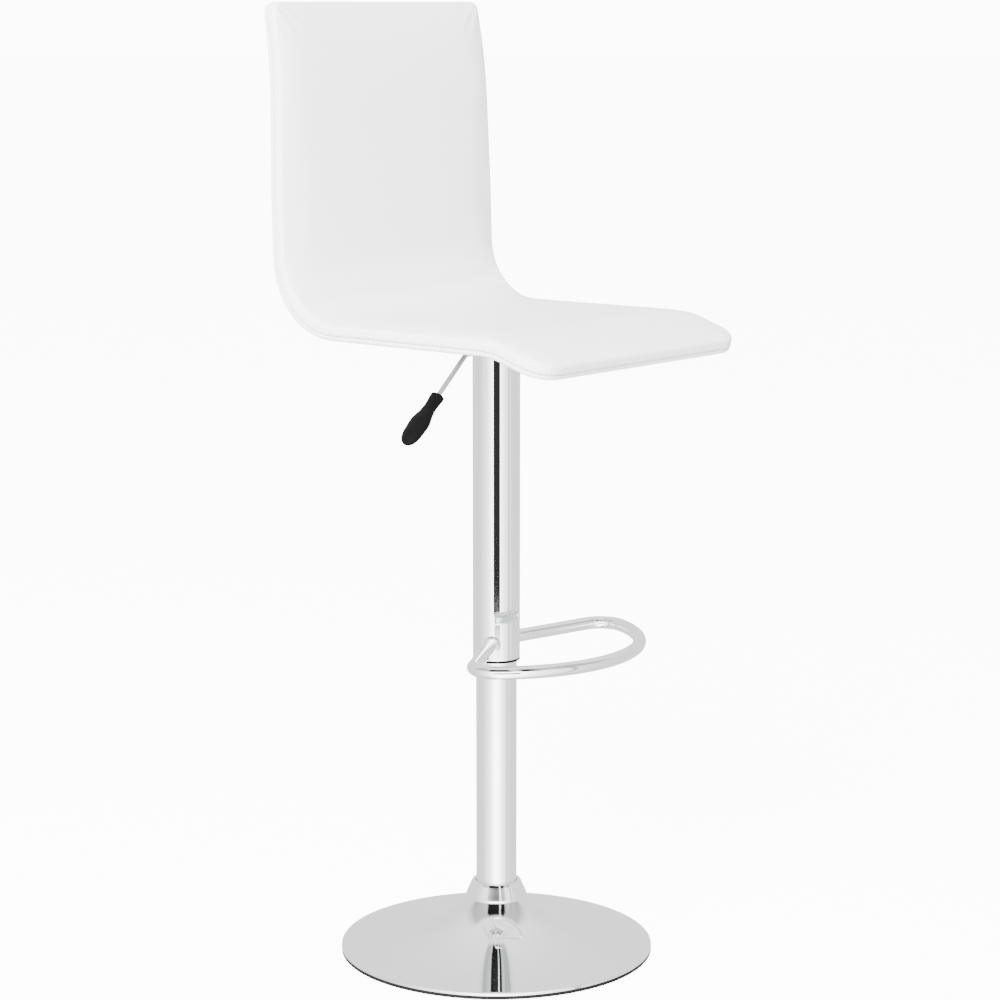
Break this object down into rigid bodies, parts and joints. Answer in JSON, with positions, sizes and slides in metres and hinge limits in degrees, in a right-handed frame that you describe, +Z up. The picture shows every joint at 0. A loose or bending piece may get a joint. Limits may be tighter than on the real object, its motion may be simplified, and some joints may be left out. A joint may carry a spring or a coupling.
{
  "type": "adjustable swivel stool",
  "caption": "Bar-height swivel stool: padded one-piece seat and back on a gas-lift column with a lever, a looped footrest and a round trumpet base.",
  "frame": {"origin": "On the floor, on the column's axis, at the centre of the round base's rubber ring", "axes": "+Z up along the column; the sitter faces -Y, so the back rest is towards +Y; -X is the sitter's right, the lever's side"},
  "size_m": [0.385, 0.4332, 1.162],
  "materials": {
    "chrome": "polished mirror chrome plate",
    "rubber": "matt black",
    "black_plastic": "fine moulded texture",
    "plain_steel": "mill finish",
    "grey_steel": "satin grey powder coat",
    "cast_iron": "rough cast",
    "black_steel": "satin black cylinder",
    "brass": "machined",
    "white_plastic": "acetal",
    "seat_leatherette": "white leatherette, soft satin",
    "foam": "open cell foam",
    "plywood": "bare birch plywood",
    "zinc_steel": "zinc plated",
    "screw_black": "black oxide"
  },
  "bodies": {
    "base": {"base_bell": "chrome", "floor_ring": "rubber", "ballast_ring": "cast_iron", "retaining_plate": "plain_steel", "neck_collar": "chrome", "lower_tube": "chrome", "tube_plug": "plain_steel", "stud_washer": "zinc_steel", "stud_nut": "zinc_steel", "guide_bush": "white_plastic", "rod_shelf": "plain_steel", "lower_race": "plain_steel"},
    "rotor": {"bearing_balls": "plain_steel", "upper_race": "plain_steel", "piston_rod": "plain_steel", "rod_clip": "zinc_steel", "piston": "brass", "piston_seal": "rubber"},
    "lift": {"gas_cylinder": "black_steel", "rod_guide": "white_plastic", "valve_block": "brass", "outer_sleeve": "chrome", "sleeve_bush": "black_plastic", "sleeve_cap": "plain_steel", "footrest_loop": "chrome", "footrest_welds": "chrome", "plate_socket": "grey_steel", "lever_pin": "zinc_steel", "seat_plate": "grey_steel", "mounting_board": "plywood", "plate_bolts": "screw_black", "tee_nuts": "zinc_steel", "front_cover": "seat_leatherette", "seat_foam": "foam", "seat_shell": "plywood", "rear_cover": "seat_leatherette", "underside_pad": "foam"},
    "lever": {"lever_rod": "chrome", "lever_grip": "black_plastic"},
    "valve": {"valve_pin": "plain_steel"}
  },
  "joints": [
    {"name": "swivel", "type": "hinge", "parent": "base", "child": "rotor", "pos_m": [0, 0, 0.05], "axis": [0, 0, 1], "continuous": true},
    {"name": "height", "type": "slide", "parent": "rotor", "child": "lift", "axis": [0, 0, 1], "range_m": [-0.21, 0]},
    {"name": "lever_lift", "type": "hinge", "parent": "lift", "child": "lever", "pos_m": [-0.028, 0, 0.748], "axis": [0, 1, 0], "range_deg": [0, 6], "stiffness_Nm_per_rad": 2, "springref_deg": -2.86},
    {"name": "valve_push", "type": "slide", "parent": "lift", "child": "valve", "axis": [0, 0, -1], "range_m": [0, 0.0031]}
  ],
  "couplings": [
    {"joint": "valve_push", "follows": "lever_lift", "m_per_rad": 0.028}
  ]
}
